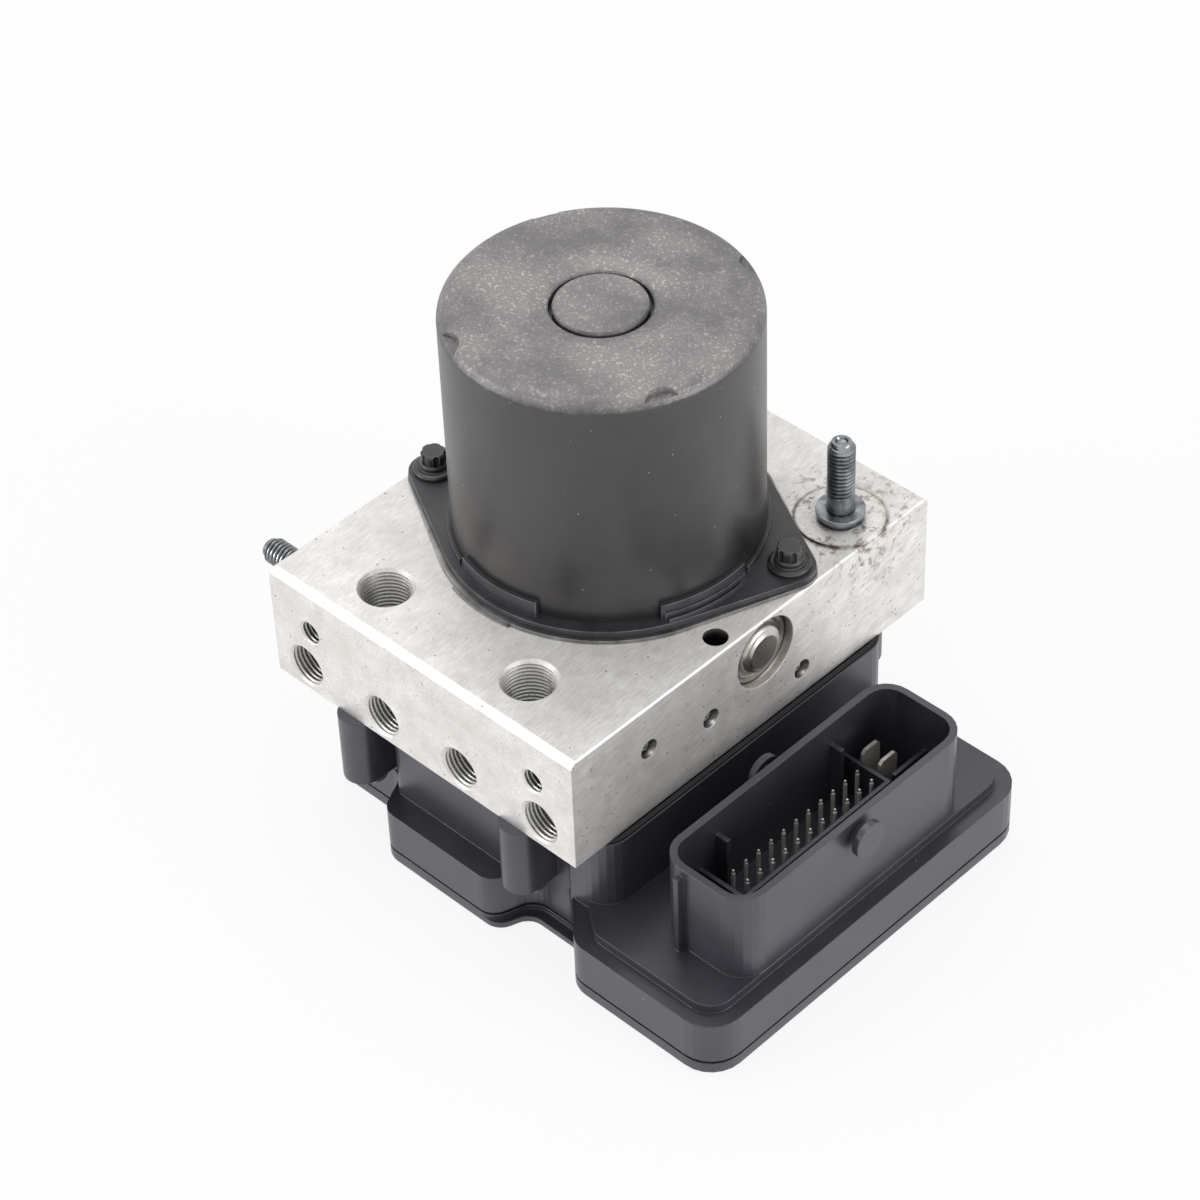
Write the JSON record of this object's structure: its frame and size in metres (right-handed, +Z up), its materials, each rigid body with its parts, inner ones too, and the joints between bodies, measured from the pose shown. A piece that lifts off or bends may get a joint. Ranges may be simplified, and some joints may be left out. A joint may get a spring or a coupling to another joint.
{
  "type": "abs brake module",
  "caption": "Brake hydraulic control unit: round pump motor on a ported valve block, over a flat plastic control unit with an open wiring connector.",
  "frame": {"origin": "on the pump motor's axis, in the plane of the flat cover that the module stands on", "axes": "+Z up along the motor axis, -Y towards the brake pipe ports in the front face, +X towards the wiring connector"},
  "size_m": [0.1424, 0.1106, 0.1224],
  "materials": {
    "block_aluminium": "machined and brushed, worn",
    "can_steel": "satin dark coating, scuffed",
    "flange_black": "satin black",
    "plate_steel": "zinc plated",
    "screw_black": "phosphated black",
    "bearing_steel": "polished",
    "ferrite": "dull",
    "shaft_steel": "ground",
    "core_steel": "laminated",
    "copper": "enamelled copper",
    "commutator_copper": "turned copper",
    "holder_plastic": "moulded",
    "carbon": "pressed carbon",
    "spring_steel": "drawn wire",
    "contact_brass": "plated",
    "sleeve_plastic": "moulded",
    "plug_metal": "turned",
    "valve_steel": "turned",
    "bobbin_plastic": "moulded",
    "yoke_steel": "zinc plated",
    "board_green": "solder mask",
    "chip_black": "moulded",
    "capacitor_can": "sleeved",
    "pin_metal": "plated",
    "blade_metal": "tin plated",
    "housing_plastic": "moulded, fine texture",
    "cover_plastic": "moulded, fine texture",
    "seal_rubber": "dull",
    "stud_zinc": "zinc plated",
    "ball_steel": "polished"
  },
  "bodies": {
    "module": {"valve_block": "block_aluminium", "motor_can": "can_steel", "motor_flange": "flange_black", "motor_base_plate": "plate_steel", "motor_screws": "screw_black", "bearing_outer_rings": "bearing_steel", "bearing_balls": "ball_steel", "magnets": "ferrite", "brush_holder": "holder_plastic", "brushes": "carbon", "brush_springs": "spring_steel", "motor_contacts": "contact_brass", "contact_sleeve": "sleeve_plastic", "pump_spring_right": "spring_steel", "pump_spring_left": "spring_steel", "pump_sleeves": "valve_steel", "pump_plugs": "plug_metal", "accumulator_spring_right": "spring_steel", "accumulator_spring_left": "spring_steel", "accumulator_caps": "plug_metal", "valve_bodies": "valve_steel", "valve_domes": "valve_steel", "valve_springs": "spring_steel", "coil_bobbins": "bobbin_plastic", "coil_windings": "copper", "coil_yokes": "yoke_steel", "coil_pins": "contact_brass", "circuit_board": "board_green", "board_chips": "chip_black", "board_capacitors": "capacitor_can", "signal_pins": "pin_metal", "power_blades": "blade_metal", "ecu_housing": "housing_plastic", "ecu_cover": "cover_plastic", "cover_seal": "seal_rubber", "ecu_seal": "seal_rubber", "ecu_screws": "stud_zinc", "top_stud": "stud_zinc", "stud_collar": "stud_zinc", "side_stud": "stud_zinc", "ball_plugs": "ball_steel"},
    "rotor": {"rotor_shaft": "shaft_steel", "rotor_core": "core_steel", "rotor_windings": "copper", "commutator": "commutator_copper", "eccentric_ring": "bearing_steel", "bearing_inner_rings": "bearing_steel"},
    "piston_right": {"pump_piston_right": "shaft_steel"},
    "piston_left": {"pump_piston_left": "shaft_steel"},
    "accumulator_right": {"accumulator_piston_right": "plug_metal"},
    "accumulator_left": {"accumulator_piston_left": "plug_metal"},
    "inlet_valve_1": {"inlet_armature_1": "yoke_steel"},
    "inlet_valve_2": {"inlet_armature_2": "yoke_steel"},
    "inlet_valve_3": {"inlet_armature_3": "yoke_steel"},
    "inlet_valve_4": {"inlet_armature_4": "yoke_steel"},
    "outlet_valve_1": {"outlet_armature_1": "yoke_steel"},
    "outlet_valve_2": {"outlet_armature_2": "yoke_steel"},
    "outlet_valve_3": {"outlet_armature_3": "yoke_steel"},
    "outlet_valve_4": {"outlet_armature_4": "yoke_steel"}
  },
  "joints": [
    {"name": "rotor_spin", "type": "hinge", "parent": "module", "child": "rotor", "pos_m": [0, 0, 0.09], "axis": [0, 0, 1], "continuous": true},
    {"name": "pump_stroke_right", "type": "slide", "parent": "module", "child": "piston_right", "axis": [1, 0, 0], "range_m": [0, 0.0018], "deforming": ["pump_spring_right"]},
    {"name": "pump_stroke_left", "type": "slide", "parent": "module", "child": "piston_left", "axis": [-1, 0, 0], "range_m": [0, 0.0018], "deforming": ["pump_spring_left"]},
    {"name": "accumulator_stroke_right", "type": "slide", "parent": "module", "child": "accumulator_right", "axis": [0, 1, 0], "range_m": [0, 0.006], "deforming": ["accumulator_spring_right"]},
    {"name": "accumulator_stroke_left", "type": "slide", "parent": "module", "child": "accumulator_left", "axis": [0, 1, 0], "range_m": [0, 0.006], "deforming": ["accumulator_spring_left"]},
    {"name": "inlet_valve_stroke_1", "type": "slide", "parent": "module", "child": "inlet_valve_1", "axis": [0, 0, 1], "range_m": [0, 0.0003], "deforming": ["valve_springs"]},
    {"name": "inlet_valve_stroke_2", "type": "slide", "parent": "module", "child": "inlet_valve_2", "axis": [0, 0, 1], "range_m": [0, 0.0003], "deforming": ["valve_springs"]},
    {"name": "inlet_valve_stroke_3", "type": "slide", "parent": "module", "child": "inlet_valve_3", "axis": [0, 0, 1], "range_m": [0, 0.0003], "deforming": ["valve_springs"]},
    {"name": "inlet_valve_stroke_4", "type": "slide", "parent": "module", "child": "inlet_valve_4", "axis": [0, 0, 1], "range_m": [0, 0.0003], "deforming": ["valve_springs"]},
    {"name": "outlet_valve_stroke_1", "type": "slide", "parent": "module", "child": "outlet_valve_1", "axis": [0, 0, 1], "range_m": [-0.0003, 0], "deforming": ["valve_springs"]},
    {"name": "outlet_valve_stroke_2", "type": "slide", "parent": "module", "child": "outlet_valve_2", "axis": [0, 0, 1], "range_m": [-0.0003, 0], "deforming": ["valve_springs"]},
    {"name": "outlet_valve_stroke_3", "type": "slide", "parent": "module", "child": "outlet_valve_3", "axis": [0, 0, 1], "range_m": [-0.0003, 0], "deforming": ["valve_springs"]},
    {"name": "outlet_valve_stroke_4", "type": "slide", "parent": "module", "child": "outlet_valve_4", "axis": [0, 0, 1], "range_m": [-0.0003, 0], "deforming": ["valve_springs"]}
  ]
}
